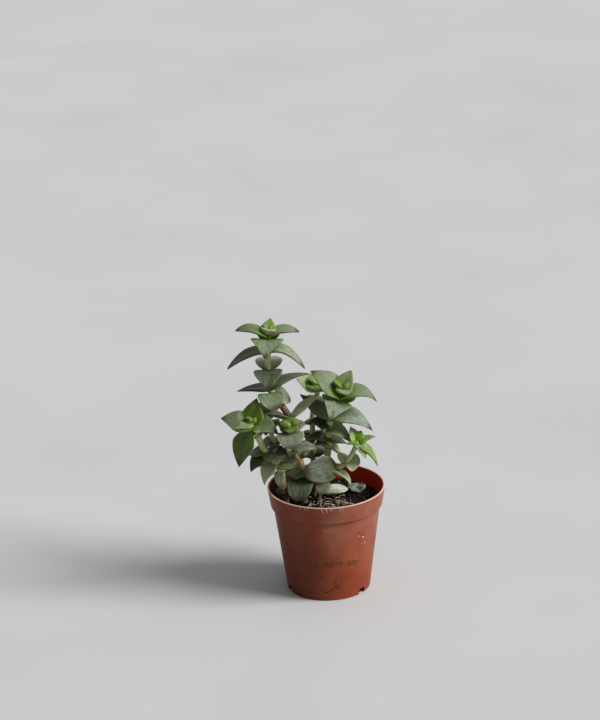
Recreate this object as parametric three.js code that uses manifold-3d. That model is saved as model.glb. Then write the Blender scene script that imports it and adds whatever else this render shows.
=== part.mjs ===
// String of buttons (a stacked-leaf crassula) in a small round nursery pot.
// Millimetres, +Z up. The origin is the centre of the pot's base, on its underside.
// Six leafy shoots stand in plain holes in the soil, and the tallest one carries a side
// branch. Their leaves sit in pairs, and each pair is turned about a quarter turn from the
// pair below it.

import * as THREE from 'three';
import { mergeVertices } from 'three/addons/utils/BufferGeometryUtils.js';
import Module from 'manifold-3d';

const wasm = await Module();
wasm.setup();

// ---- Driving dimensions -------------------------------------------------------------

// Pot: a tapering wall with a wider collar at the top
const POT_HEIGHT = 50.5;
const RIM_RADIUS = 27.5;
const COLLAR_HEIGHT = 9;
const COLLAR_FOOT_RADIUS = 26.1;
const COLLAR_LEDGE = 0.8;
const WALL_TOP_RADIUS = 24.95;
const BASE_RADIUS = 19.5;
const WALL_THICKNESS = 0.9;
const BASE_THICKNESS = 1.2;
const FOOT_CHAMFER = 0.5;
const POT_SIDES = 48;

// Drainage notches through the foot of the wall
const NOTCH_HEADINGS = [80.5, 200.5, 320.5];
const NOTCH_WIDTH = 4;
const NOTCH_HEIGHT = 3;
const NOTCH_DEPTH = 3;

// Clearance between pieces that touch on the real plant
const SEAT_GAP = 0.3;

// Soil: the top is a low mound with small bumps
const SOIL_EDGE_HEIGHT = 43;
const SOIL_MOUND = 0.9;
const SOIL_BUMP = 0.4;
const SOIL_EDGE_BUMP = 0.15;
const SOIL_RINGS = 6;
const SOIL_SIDES = 32;

// Stems: the foot of each stem stands this deep in its hole
const STEM_DEPTH = 7;
const STEM_SIDES = 6;
const JOINT_SWELLING = 1.12;
const HOLE_SIDES = 14;

// Leaves: thickest at the stem, flat on top and rounded below
const LEAF_THICKNESS = 2.1;
const TIP_THICKNESS_SHARE = 0.4;
const UPPER_SHARE = 0.35;
const CUPPING = 0.12;
const BEND_PLACE = 0.45;
const LEAF_STATIONS = [0, 0.14, 0.3, 0.5, 0.7, 0.87];
const ROUND_STATIONS = [0, 0.15, 0.33, 0.54, 0.75, 0.9, 0.97];
const BUD_STATIONS = [0, 0.2, 0.5, 0.8];
const BUD_REACH = 7.3;
const LEAF_SECTION_SIDES = 6;

// Leaf outlines: width at the stem, place of the widest point, fullness towards the tip, and
// bluntness, which is 1 for an acute tip and less for a rounded one
const POINTED = { foot: 0.55, belly: 0.3, fullness: 1.5, bluntness: 1 };
const KEELED = { foot: 0.55, belly: 0.26, fullness: 1.22, bluntness: 1 };
const ROUNDED = { foot: 0.45, belly: 0.48, fullness: 2.2, bluntness: 0.7 };
const HANGING = { foot: 0.4, belly: 0.45, fullness: 1.9, bluntness: 1 };
const BLUNT = { foot: 0.6, belly: 0.42, fullness: 2.3, bluntness: 0.8 };
const SPADE = { foot: 0.6, belly: 0.34, fullness: 1.8, bluntness: 1 };
const OVAL = { foot: 0.26, belly: 0.54, fullness: 2, bluntness: 0.5 };

// ---- The shoots ----------------------------------------------------------------------

// Each shoot has the place of its foot in the soil, its stem diameters at the foot and at
// the tip, and its joints from the foot upwards. A branch starts inside its parent's stem.
// Each leaf is [heading in degrees, reach, rise of its tip, width, arch, twist in degrees,
// outline], measured from its joint. Heading 0 is +X and 90 is +Y.
const SHOOTS = {
  tall_shoot: {
    foot: [-10.5, -4.5],
    diameters: [3.6, 2.8],
    joints: [
      { at: [-10.8, -4.2, 52.5], leaves: [
        [243, 8.5, -2.5, 9.5, 2.5, 0, ROUNDED],
      ] },
      { at: [-11, -4, 56.5], leaves: [
        [261, 13.2, -6.8, 12.2, 3.5, 0, OVAL],
      ] },
      { at: [-11, -4, 60], leaves: [
        [215, 7, -3, 10, 3, -30, ROUNDED],
      ] },
      { at: [-12.2, -3, 66], leaves: [
        [200, 9, -2, 11, 3, 0, POINTED],
        [20, 8, 3, 9, 2, 0, POINTED],
      ] },
      { at: [-13.5, -2, 72.5] },
      { at: [-16, 0, 84.5], leaves: [
        [189, 13, 3, 11, 2, 0, POINTED],
        [353, 14.5, 12, 7.8, 1, 28, POINTED],
      ] },
      { at: [-23, 1, 96], leaves: [
        [277, 9, -4.3, 12.6, 6.3, -38, OVAL],
        [21, 8.5, -4.5, 13, 3, 50, ROUNDED],
      ] },
      { at: [-24.5, 1.5, 99], leaves: [
        [180, 15.5, -1, 11, 1.5, 0, POINTED],
        [12, 19.5, 5, 11, 4, 0, POINTED],
      ] },
      { at: [-25, 1.5, 107.5], leaves: [
        [270, 14, -4.5, 13.5, 5, 0, SPADE],
        [85, 9, 4, 12.7, 1.5, 0, OVAL],
      ] },
      { at: [-25, 1, 117.5], leaves: [
        [183, 19, -8, 10.5, 6, 0, BLUNT],
        [357, 17, -9, 11, 9, 0, BLUNT],
      ] },
      { at: [-24.5, 1, 122.6], leaves: [
        [263, 14, -4, 15.5, 5, 0, KEELED],
        [87, 11, -1, 10.5, 5, 0, POINTED],
      ] },
      { at: [-25, 0.5, 125], leaves: [
        [180, 14.5, 3, 8.5, 5, 0, BLUNT],
        [0, 15, 1.5, 8.5, 5, 0, BLUNT],
      ] },
      { at: [-24.5, 0.5, 126.5], leaves: [
        [75, 5, 5.5, 7.5, 1, 0, KEELED],
        [268, 4.2, 2.2, 7.5, 2.2, 0, ROUNDED],
      ] },
      { at: [-24.5, 0.5, 128], leaves: [
        [180, 2.5, 2, 4.5, 1, 0, ROUNDED],
        [341, 3, 1.5, 4.5, 1, 0, ROUNDED],
      ] },
    ],
    branch: {
      from: [-11.5, -3.5, 62],
      diameters: [2.6, 2.4],
      joints: [
        { at: [-15, -11, 74], leaves: [
          [342, 13, 1, 8, 2, 0, POINTED],
          [168, 4.5, 1.5, 7, 2, 0, POINTED],
        ] },
        { at: [-15.5, -11, 81], leaves: [
          [269, 9, -4, 13, 5, 0, ROUNDED],
          [90, 7.5, 0, 10, 4, 0, POINTED],
        ] },
        { at: [-15.5, -11, 83], leaves: [
          [160, 7, 2.5, 8, 2.5, 0, POINTED],
          [6, 7.5, 2.5, 8, 2.5, 15, POINTED],
        ] },
        { at: [-16, -12, 85], leaves: [
          [130, 4, 2.5, 7, 1.5, 0, ROUNDED],
          [295, 4.5, -1.5, 7, 2.2, 0, ROUNDED],
        ] },
        { at: [-16, -12, 86], leaves: [
          [11, 5, 1, 6.5, 1.5, 0, ROUNDED],
          [205, 4, 0, 6.5, 1.5, 0, ROUNDED],
        ] },
      ],
    },
  },

  right_shoot: {
    foot: [-5.5, 4],
    diameters: [3.4, 2.8],
    joints: [
      { at: [-1, 3, 56], leaves: [
        [200, 8, -3, 9, 3, -20, POINTED],
        [70, 9.5, 1, 10, 3, 0, POINTED],
      ] },
      { at: [1.5, 2, 69], leaves: [
        [24, 7.5, -5, 9, 3, 20, ROUNDED],
        [205, 7, 2, 9, 3, 0, POINTED],
      ] },
      { at: [1.5, 2, 73], leaves: [
        [6, 9, -3.5, 10, 2, 0, POINTED],
        [184, 12, -1.5, 9, 4, 0, POINTED],
      ] },
      { at: [2, 1, 78], leaves: [
        [333, 11.5, -5, 11, 4, 0, POINTED],
        [62, 10.5, 1.5, 11, 4, 0, POINTED],
      ] },
      { at: [2.3, 0.8, 80], leaves: [
        [178, 9, 2.5, 9, 1.5, -25, POINTED],
      ] },
      { at: [3, 0, 84], leaves: [
        [351, 19.5, -6, 15, 8, 8, POINTED],
        [148, 16.5, 9, 11.5, 0, -10, POINTED],
      ] },
      { at: [6, -1, 93], leaves: [
        [253, 13.5, -5.5, 15, 5, 0, KEELED],
        [58, 14, -1, 13, 5, 0, POINTED],
      ] },
      { at: [7.5, -2, 95.5], leaves: [
        [171, 13.5, 12, 14, 3, -25, POINTED],
        [0, 17, -3.5, 12, 9, 0, POINTED],
      ] },
      { at: [8, -2, 97.5], leaves: [
        [37, 6.5, 9, 9.5, 2, 0, POINTED],
        [296, 5, 0, 9, 2.5, 0, ROUNDED],
      ] },
      { at: [8.5, -2, 99], leaves: [
        [195, 4, 3.5, 6.5, 1.5, 0, ROUNDED],
        [350, 4, 3, 6.5, 1.8, 0, ROUNDED],
      ] },
    ],
  },

  left_shoot: {
    foot: [-19, -8.5],
    diameters: [3.2, 2.8],
    joints: [
      { at: [-19.4, -8.9, 51.5], leaves: [
        [222, 3.5, -0.5, 6.5, 1.5, 0, ROUNDED],
      ] },
      { at: [-21, -9.9, 62.5], leaves: [
        [268, 3.5, -7, 5.5, 2.5, 0, ROUNDED],
      ] },
      { at: [-22, -10, 65.5], leaves: [
        [200, 7, -9, 11.5, 6, -35, POINTED],
        [323, 12.5, 2, 10.5, 2, 0, ROUNDED],
      ] },
      { at: [-25.5, -9.5, 70], leaves: [
        [197, 9.5, -6.8, 11.5, 4, -35, POINTED],
        [31, 7.5, 3.5, 9, 2, 0, POINTED],
      ] },
      { at: [-27.5, -9, 71.5], leaves: [
        [153, 9, -3, 11, 3, 0, POINTED],
        [329, 12, -1.5, 11.5, 1.5, 5, BLUNT],
      ] },
      { at: [-31, -9, 80], leaves: [
        [146, 14, -6, 9, 4, 0, POINTED],
        [58, 9.5, 1.5, 10, 4, 0, POINTED],
      ] },
      { at: [-32.5, -9, 82.5], leaves: [
        [219, 9.5, -15.5, 15, 4.5, -20, HANGING],
        [64, 9, 8, 10, 2, 0, POINTED],
      ] },
      { at: [-33, -9, 84], leaves: [
        [184, 14.5, 5.5, 13, 2, -45, POINTED],
        [344, 12.5, -2.5, 12, 7, 36, POINTED],
      ] },
      { at: [-33.5, -9, 85.5], leaves: [
        [62, 6, 11, 12, 2, 0, KEELED],
        [204, 10, -0.5, 9, 2, -15, POINTED],
      ] },
      { at: [-33, -9, 87], leaves: [
        [180, 3.5, 2, 4, 1, 0, POINTED],
        [0, 2.5, 2, 4, 1, 0, POINTED],
      ] },
    ],
  },

  back_shoot: {
    foot: [-6, 12],
    diameters: [2.8, 2.4],
    joints: [
      { at: [-5.5, 9, 62], leaves: [
        [33, 7.5, 2, 11, 3, 0, POINTED],
        [180, 5, -1.5, 10, 3, 0, POINTED],
      ] },
      { at: [-5.5, 9.5, 70.5], leaves: [
        [80, 8.5, 0, 10, 3, 0, POINTED],
        [262, 6.5, -1, 8, 3, 0, POINTED],
      ] },
      { at: [-5.5, 10, 78], leaves: [
        [337, 7, -7, 9, 6, 0, POINTED],
        [162, 6.5, -3, 9, 3, 0, POINTED],
      ] },
      { at: [-4.5, 11.2, 86.5], leaves: [
        [78, 9, 1, 10, 2.5, 0, POINTED],
        [260, 5.5, -1, 8, 2, 0, POINTED],
      ] },
      { at: [-2.5, 10.5, 94.5], leaves: [
        [184, 10, 5.5, 12, 1, -25, POINTED],
        [22, 8, -2.5, 10, 4, 0, POINTED],
      ] },
      { at: [-2.5, 10.5, 96], leaves: [
        [118, 5.5, 4.5, 11, 1.5, 0, POINTED],
        [268, 6, -0.5, 10.5, 2.2, 0, ROUNDED],
      ] },
      { at: [-2.5, 10.5, 97], leaves: [
        [190, 4.5, 2.5, 7, 1.2, 0, ROUNDED],
        [10, 4, 2.5, 7, 1.2, 0, ROUNDED],
      ] },
    ],
  },

  rear_shoot: {
    foot: [-11, 5.5],
    diameters: [2.8, 2.2],
    joints: [
      { at: [-16.5, 6, 60], leaves: [
        [232, 6.5, -3.5, 10, 4, 0, POINTED],
        [64, 6.5, 3.5, 10, 3, 0, POINTED],
      ] },
      { at: [-23, 7, 68.5], leaves: [
        [162, 6.5, 1.5, 10, 3, 0, POINTED],
        [22, 8, 1, 10, 4, 0, POINTED],
      ] },
      { at: [-25.5, 7, 77], leaves: [
        [69, 8.5, 1, 10, 3, 0, POINTED],
        [254, 6, -1.5, 9, 3, 0, POINTED],
      ] },
      { at: [-26.5, 7, 82], leaves: [
        [164, 7, 2.5, 9, 3, 0, POINTED],
        [17, 7, 2, 9, 3, 0, POINTED],
      ] },
      { at: [-27, 7, 84], leaves: [
        [117, 3.5, 6, 8, 1.5, 0, POINTED],
        [287, 5, 0, 7, 2, 0, POINTED],
      ] },
      { at: [-27, 7, 85], leaves: [
        [180, 2, 2.5, 4, 1, 0, POINTED],
        [0, 2.5, 2.5, 4, 1, 0, POINTED],
      ] },
    ],
  },

  low_shoot: {
    foot: [-3.5, -1],
    diameters: [2.6, 2.2],
    joints: [
      { at: [-1, -5, 55.5], leaves: [
        [242, 5, -6.2, 7.5, 3, 0, ROUNDED],
      ] },
      { at: [2, -5, 59.5], leaves: [
        [336, 10.3, -6.3, 6.8, 5, 20, POINTED],
      ] },
      { at: [5.5, -4.5, 60.8], leaves: [
        [205, 17.5, 0.6, 12.6, 4, -40, OVAL],
      ] },
      { at: [9.2, -5, 63], leaves: [
        [105, 4.5, 3.5, 10, 1, 0, ROUNDED],
        [343, 7, 0.5, 9.5, 1, 45, ROUNDED],
      ] },
      { at: [14.5, -6, 72.5], leaves: [
        [343, 10, -10, 9, 5, 0, POINTED],
        [114, 6.5, 7, 9, 2, 0, POINTED],
      ] },
      { at: [15, -6, 73.5], leaves: [
        [7, 8.5, 2.5, 6.5, 2, 0, POINTED],
        [219, 6.5, 1, 5, 1.5, 0, POINTED],
      ] },
      { at: [15, -6, 74.5], leaves: [
        [301, 7, -6.5, 7, 2, 0, POINTED],
        [65, 4.5, 3.5, 6, 1, 0, POINTED],
      ] },
    ],
  },
};

// Leaves that have dropped and lie on the soil: centre, then the same leaf sizes
const DROPPED_LEAVES = {
  fallen_leaf: { from: [-0.5, 2.2], leaf: [12, 11, 0.6, 11, 1.2, 0, ROUNDED] },
  dry_leaf: { from: [13.7, 2.2], leaf: [72, 7, 1.6, 8, 1.5, 0, ROUNDED] },
};

// ---- Helpers -------------------------------------------------------------------------

// A small repeatable random number source
function seeded(seed) {
  let state = seed;
  return () => {
    state = (state * 16807) % 2147483647;
    return state / 2147483647;
  };
}

function toSolid(geometry) {
  const clean = geometry.clone();
  clean.deleteAttribute('normal');
  clean.deleteAttribute('uv');
  const merged = mergeVertices(clean, 1e-4);
  return new wasm.Manifold(new wasm.Mesh({
    numProp: 3,
    vertProperties: new Float32Array(merged.getAttribute('position').array),
    triVerts: new Uint32Array(merged.getIndex().array),
  }));
}

// Vertices and triangles of a solid, without sealed hollows and loose scraps
function outerShell(solid) {
  const mesh = solid.getMesh();
  const count = mesh.vertProperties.length / mesh.numProp;
  const parent = Array.from({ length: count }, (_, i) => i);
  const find = (i) => {
    while (parent[i] !== i) {
      parent[i] = parent[parent[i]];
      i = parent[i];
    }
    return i;
  };
  const triangles = mesh.triVerts;
  const point = (i) => new THREE.Vector3().fromArray(mesh.vertProperties, i * mesh.numProp);
  for (let t = 0; t < triangles.length; t += 3) {
    parent[find(triangles[t])] = find(triangles[t + 1]);
    parent[find(triangles[t + 1])] = find(triangles[t + 2]);
  }
  const volumes = new Map();
  for (let t = 0; t < triangles.length; t += 3) {
    const corner = point(triangles[t]);
    const cross = point(triangles[t + 1]).cross(point(triangles[t + 2]));
    const key = find(triangles[t]);
    volumes.set(key, (volumes.get(key) ?? 0) + corner.dot(cross) / 6);
  }
  const largest = [...volumes.entries()].sort((a, b) => b[1] - a[1])[0][0];
  const positions = [];
  const index = [];
  const renumbered = new Map();
  for (const vertex of triangles) {
    if (find(vertex) !== largest) continue;
    if (!renumbered.has(vertex)) {
      renumbered.set(vertex, positions.length / 3);
      positions.push(...point(vertex).toArray());
    }
    index.push(renumbered.get(vertex));
  }
  const geometry = new THREE.BufferGeometry();
  geometry.setAttribute('position', new THREE.Float32BufferAttribute(positions, 3));
  geometry.setIndex(index);
  return geometry;
}

// A closed skin over rings of points, ending in a point or in a flat cap at each end
function skin(rings, firstPoint, lastPoint) {
  const sides = rings[0].length;
  const positions = rings.flat().flatMap((p) => p.toArray());
  const index = [];
  for (let r = 0; r + 1 < rings.length; r += 1) {
    for (let k = 0; k < sides; k += 1) {
      const next = (k + 1) % sides;
      const a = r * sides + k;
      const b = r * sides + next;
      const c = (r + 1) * sides + next;
      const d = (r + 1) * sides + k;
      index.push(a, b, c, a, c, d);
    }
  }
  const first = rings.length * sides;
  positions.push(...firstPoint.toArray(), ...lastPoint.toArray());
  const lastRing = (rings.length - 1) * sides;
  for (let k = 0; k < sides; k += 1) {
    const next = (k + 1) % sides;
    index.push(next, k, first);
    index.push(lastRing + k, lastRing + next, first + 1);
  }
  const geometry = new THREE.BufferGeometry();
  geometry.setAttribute('position', new THREE.Float32BufferAttribute(positions, 3));
  geometry.setIndex(index);
  return geometry;
}

function material(color, roughness, metalness = 0) {
  return new THREE.MeshStandardMaterial({ color, roughness, metalness });
}

// ---- Leaf ----------------------------------------------------------------------------

// Share of the full width at a place s along the leaf, from 0 at the stem to 1 at the tip
function outlineShare(s, outline) {
  const rise = Math.sin((Math.PI / 2) * Math.min(s / outline.belly, 1));
  const past = Math.max((s - outline.belly) / (1 - outline.belly), 0);
  const taper = (1 - past ** outline.fullness) ** outline.bluntness;
  return (outline.foot + (1 - outline.foot) * rise) * taper;
}

function leafGeometry(joint, axis, leaf) {
  const [heading, reach, rise, width, arch, twist, outline] = leaf;
  const angle = THREE.MathUtils.degToRad(heading);
  const chord = new THREE.Vector3(reach * Math.cos(angle), reach * Math.sin(angle), rise);
  const bend = joint.clone().addScaledVector(chord, BEND_PLACE).addScaledVector(axis, arch);
  const tip = joint.clone().add(chord);
  const midrib = new THREE.QuadraticBezierCurve3(joint, bend, tip);
  const across = new THREE.Vector3().crossVectors(axis, chord).normalize();
  const longStations = outline.bluntness < 1 ? ROUND_STATIONS : LEAF_STATIONS;
  const stations = reach < BUD_REACH ? BUD_STATIONS : longStations;
  const rings = stations.map((s) => {
    const centre = midrib.getPoint(s);
    const along = midrib.getTangent(s);
    const up = new THREE.Vector3().crossVectors(along, across).normalize();
    const side = new THREE.Vector3().crossVectors(up, along).normalize();
    const turn = THREE.MathUtils.degToRad(twist) * Math.min(1, 2 * s);
    side.applyAxisAngle(along, turn);
    up.applyAxisAngle(along, turn);
    const share = outlineShare(s, outline);
    const halfWidth = (width / 2) * share;
    const thickness = LEAF_THICKNESS * (TIP_THICKNESS_SHARE + (1 - TIP_THICKNESS_SHARE) * (1 - s));
    const ring = [];
    for (let k = 0; k < LEAF_SECTION_SIDES; k += 1) {
      const phase = (2 * Math.PI * k) / LEAF_SECTION_SIDES;
      const u = Math.cos(phase);
      const v = Math.sin(phase);
      const body = (v > 0 ? UPPER_SHARE : 1 - UPPER_SHARE) * thickness * v * Math.sqrt(share);
      const height = CUPPING * halfWidth * u * u + body;
      ring.push(centre.clone().addScaledVector(side, u * halfWidth).addScaledVector(up, height));
    }
    return ring;
  });
  return skin(rings, joint, tip);
}

// ---- Stem and shoot ------------------------------------------------------------------

function soilTop(x, y) {
  const share = Math.hypot(x, y) / (COLLAR_FOOT_RADIUS - WALL_THICKNESS);
  return SOIL_EDGE_HEIGHT + SOIL_MOUND * Math.cos((Math.PI / 2) * Math.min(share, 1));
}

// The places before the first joint: straight up out of the hole, or the parent's stem
function startPlaces(shoot) {
  if (shoot.from) return [new THREE.Vector3(...shoot.from)];
  const [x, y] = shoot.foot;
  const ground = soilTop(x, y);
  return [
    new THREE.Vector3(x, y, ground - STEM_DEPTH),
    new THREE.Vector3(x, y, ground + 1),
  ];
}

function stemPath(shoot) {
  const joints = shoot.joints.map((joint) => new THREE.Vector3(...joint.at));
  return startPlaces(shoot).concat(joints);
}

// Direction of the stem at each place along it
function stemAxes(path) {
  return path.map((place, i) => {
    const before = path[Math.max(i - 1, 0)];
    const after = path[Math.min(i + 1, path.length - 1)];
    return new THREE.Vector3().subVectors(after, before).normalize();
  });
}

function stemGeometry(shoot, path, axes) {
  const [footDiameter, topDiameter] = shoot.diameters;
  const rings = path.map((place, i) => {
    const share = i / (path.length - 1);
    const swelling = i >= path.length - shoot.joints.length ? JOINT_SWELLING : 1;
    const radius = (swelling * (footDiameter + (topDiameter - footDiameter) * share)) / 2;
    const sideways = new THREE.Vector3().crossVectors(axes[i], new THREE.Vector3(0, 1, 0)).normalize();
    const forwards = new THREE.Vector3().crossVectors(axes[i], sideways);
    const ring = [];
    for (let k = 0; k < STEM_SIDES; k += 1) {
      const phase = (2 * Math.PI * k) / STEM_SIDES;
      const point = place.clone().addScaledVector(sideways, radius * Math.cos(phase));
      ring.push(point.addScaledVector(forwards, radius * Math.sin(phase)));
    }
    return ring;
  });
  const end = path[path.length - 1];
  const top = end.clone().addScaledVector(axes[path.length - 1], topDiameter / 2);
  return skin(rings, path[0], top);
}

// The stem with all its leaves and its branch as one solid
function shootSolid(shoot) {
  const path = stemPath(shoot);
  const axes = stemAxes(path);
  const firstJoint = path.length - shoot.joints.length;
  let solid = toSolid(stemGeometry(shoot, path, axes));
  shoot.joints.forEach((joint, j) => {
    for (const leaf of joint.leaves ?? []) {
      solid = solid.add(toSolid(leafGeometry(path[firstJoint + j], axes[firstJoint + j], leaf)));
    }
  });
  return shoot.branch ? solid.add(shootSolid(shoot.branch)) : solid;
}

// A mesh whose own origin is at a place of the plant
function placedMesh(name, geometry, place, look) {
  const mesh = new THREE.Mesh(geometry.translate(-place.x, -place.y, -place.z), look);
  mesh.name = name;
  mesh.position.copy(place);
  return mesh;
}

function shootMesh(name, shoot) {
  const look = material(0x7f9a6a, 0.55);
  return placedMesh(name, outerShell(shootSolid(shoot)), stemPath(shoot)[0], look);
}

// ---- Pot -----------------------------------------------------------------------------

// Inner radius of the tapering wall at a height
function innerRadius(height) {
  const share = height / (POT_HEIGHT - COLLAR_HEIGHT);
  return BASE_RADIUS + (WALL_TOP_RADIUS - BASE_RADIUS) * share - WALL_THICKNESS;
}

// A solid of revolution around Z from a closed profile of [radius, height] pairs
function revolved(profile, sides) {
  const points = profile.map(([radius, height]) => new THREE.Vector2(radius, height));
  const geometry = new THREE.LatheGeometry(points, sides);
  geometry.rotateX(Math.PI / 2);
  return geometry;
}

function potMesh() {
  const collarFoot = POT_HEIGHT - COLLAR_HEIGHT;
  const profile = [
    [0, 0],
    [BASE_RADIUS - FOOT_CHAMFER, 0],
    [BASE_RADIUS, FOOT_CHAMFER],
    [WALL_TOP_RADIUS, collarFoot - 0.4],
    [COLLAR_FOOT_RADIUS, collarFoot],
    [RIM_RADIUS, POT_HEIGHT - 0.3],
    [RIM_RADIUS - 0.2, POT_HEIGHT],
    [RIM_RADIUS - WALL_THICKNESS, POT_HEIGHT],
    [COLLAR_FOOT_RADIUS - WALL_THICKNESS, collarFoot + COLLAR_LEDGE],
    [WALL_TOP_RADIUS - WALL_THICKNESS, collarFoot],
    [innerRadius(BASE_THICKNESS), BASE_THICKNESS],
    [0, BASE_THICKNESS],
  ];
  let solid = toSolid(revolved(profile, POT_SIDES));
  for (const heading of NOTCH_HEADINGS) {
    const cutter = new THREE.BoxGeometry(NOTCH_DEPTH, NOTCH_WIDTH, 2 * NOTCH_HEIGHT);
    cutter.translate(BASE_RADIUS, 0, 0);
    cutter.rotateZ(THREE.MathUtils.degToRad(heading));
    solid = solid.subtract(toSolid(cutter));
  }
  const mesh = new THREE.Mesh(outerShell(solid), material(0xa5563f, 0.45));
  mesh.name = 'pot';
  return mesh;
}

// ---- Soil ----------------------------------------------------------------------------

function soilMesh() {
  const random = seeded(4711);
  const bottom = BASE_THICKNESS + SEAT_GAP;
  const rings = [];
  const ringAt = (radius, height) => {
    const ring = [];
    for (let k = 0; k < SOIL_SIDES; k += 1) {
      const phase = (2 * Math.PI * k) / SOIL_SIDES;
      ring.push(new THREE.Vector3(radius * Math.cos(phase), radius * Math.sin(phase), height));
    }
    return ring;
  };
  const collarFoot = POT_HEIGHT - COLLAR_HEIGHT;
  const edgeRadius = COLLAR_FOOT_RADIUS - WALL_THICKNESS - SEAT_GAP;
  rings.push(ringAt(innerRadius(bottom) - SEAT_GAP, bottom));
  rings.push(ringAt(innerRadius(collarFoot) - SEAT_GAP, collarFoot));
  rings.push(ringAt(edgeRadius, collarFoot + COLLAR_LEDGE + SEAT_GAP));
  for (let r = 0; r < SOIL_RINGS; r += 1) {
    const ring = ringAt(edgeRadius * (1 - r / SOIL_RINGS), 0);
    const bump = r === 0 ? SOIL_EDGE_BUMP : SOIL_BUMP;
    for (const point of ring) {
      point.z = soilTop(point.x, point.y) + bump * (2 * random() - 1);
    }
    rings.push(ring);
  }
  const middle = new THREE.Vector3(0, 0, soilTop(0, 0));
  let solid = toSolid(skin(rings, new THREE.Vector3(0, 0, bottom), middle));
  for (const shoot of Object.values(SHOOTS)) {
    const [x, y] = shoot.foot;
    const holeRadius = shoot.diameters[0] / 2 + SEAT_GAP;
    const floor = soilTop(x, y) - STEM_DEPTH - SEAT_GAP;
    const top = SOIL_EDGE_HEIGHT + 2 * SOIL_MOUND + 1;
    const hole = new THREE.CylinderGeometry(holeRadius, holeRadius, top - floor, HOLE_SIDES);
    hole.rotateX(Math.PI / 2);
    hole.translate(x, y, (top + floor) / 2);
    solid = solid.subtract(toSolid(hole));
  }
  const mesh = new THREE.Mesh(outerShell(solid), material(0x3a2e27, 0.95));
  mesh.name = 'soil';
  return mesh;
}

// ---- Dropped leaves ------------------------------------------------------------------

function droppedLeafMesh(name, dropped) {
  const [x, y] = dropped.from;
  const height = soilTop(x, y) + LEAF_THICKNESS * (1 - UPPER_SHARE) + SEAT_GAP;
  const start = new THREE.Vector3(x, y, height);
  const geometry = leafGeometry(start, new THREE.Vector3(0, 0, 1), dropped.leaf);
  return placedMesh(name, outerShell(toSolid(geometry)), start, material(0xc9ccb0, 0.6));
}

// ---- The whole plant -----------------------------------------------------------------

const plant = new THREE.Group();
plant.name = 'string_of_buttons';
plant.add(potMesh());
plant.add(soilMesh());
for (const [name, shoot] of Object.entries(SHOOTS)) {
  plant.add(shootMesh(name, shoot));
}
for (const [name, dropped] of Object.entries(DROPPED_LEAVES)) {
  plant.add(droppedLeafMesh(name, dropped));
}

export default plant;
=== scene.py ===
import math
import random

import bmesh
import bpy
import numpy as np
from mathutils import Matrix, Vector, noise


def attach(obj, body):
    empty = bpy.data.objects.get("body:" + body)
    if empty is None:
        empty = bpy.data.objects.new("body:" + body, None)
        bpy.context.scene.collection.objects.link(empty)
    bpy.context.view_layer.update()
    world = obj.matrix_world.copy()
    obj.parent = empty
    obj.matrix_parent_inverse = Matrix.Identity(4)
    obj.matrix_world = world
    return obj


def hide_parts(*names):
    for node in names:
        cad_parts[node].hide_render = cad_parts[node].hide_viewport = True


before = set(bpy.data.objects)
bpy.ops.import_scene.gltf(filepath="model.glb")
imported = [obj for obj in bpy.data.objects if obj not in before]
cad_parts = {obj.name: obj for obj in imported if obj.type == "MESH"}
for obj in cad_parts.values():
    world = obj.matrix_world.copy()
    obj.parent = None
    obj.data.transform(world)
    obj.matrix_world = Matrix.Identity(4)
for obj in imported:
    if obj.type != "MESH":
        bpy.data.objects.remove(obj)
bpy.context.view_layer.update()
MM = 0.001
ANY_TURN = 6.28

# ---- Sizes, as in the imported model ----

POT_HEIGHT = 50.5
RIM_RADIUS = 27.5
COLLAR_HEIGHT = 9
COLLAR_FOOT = POT_HEIGHT - COLLAR_HEIGHT
COLLAR_FOOT_RADIUS = 26.1
COLLAR_LEDGE = 0.8
COLLAR_SLOPE = (RIM_RADIUS - COLLAR_FOOT_RADIUS) / COLLAR_HEIGHT
WALL_TOP_RADIUS = 24.95
BASE_RADIUS = 19.5
WALL_THICKNESS = 0.9
BASE_THICKNESS = 1.2
NOTCH_HEADINGS = [80.5, 200.5, 320.5]
NOTCH_WIDTH = 4
NOTCH_HEIGHT = 3
NOTCH_DEPTH = 3

SOIL_EDGE_HEIGHT = 43
SOIL_MOUND = 0.9
STEM_DEPTH = 7
JOINT_SWELLING = 0.12

LEAF_THICKNESS = 2.1
TIP_THICKNESS_SHARE = 0.4
UPPER_SHARE = 0.35
CUPPING = 0.12
BEND_PLACE = 0.45

# Leaf outlines: width at the stem, place of the widest point, fullness towards the tip,
# bluntness of the tip
POINTED = (0.55, 0.3, 1.5, 1)
KEELED = (0.55, 0.26, 1.22, 1)
ROUNDED = (0.45, 0.48, 2.2, 0.7)
HANGING = (0.4, 0.45, 1.9, 1)
BLUNT = (0.6, 0.42, 2.3, 0.8)
SPADE = (0.6, 0.34, 1.8, 1)
OVAL = (0.26, 0.54, 2, 0.5)

# Each joint is its place and then its leaves. A leaf is (heading, reach, rise of its tip, width,
# arch, twist, outline), where the last two may be left out: no twist, and pointed
TALL_BRANCH = dict(start=(-11.5, -3.5, 62), diameters=(2.6, 2.4), woody_below=74, seed=12, joints=[
    ((-15, -11, 74), (342, 13, 1, 8, 2), (168, 4.5, 1.5, 7, 2)),
    ((-15.5, -11, 81), (269, 9, -4, 13, 5, 0, ROUNDED), (90, 7.5, 0, 10, 4)),
    ((-15.5, -11, 83), (160, 7, 2.5, 8, 2.5), (6, 7.5, 2.5, 8, 2.5, 15)),
    ((-16, -12, 85), (130, 4, 2.5, 7, 1.5, 0, ROUNDED), (295, 4.5, -1.5, 7, 2.2, 0, ROUNDED)),
    ((-16, -12, 86), (11, 5, 1, 6.5, 1.5, 0, ROUNDED), (205, 4, 0, 6.5, 1.5, 0, ROUNDED)),
])
SHOOTS = {}
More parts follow.
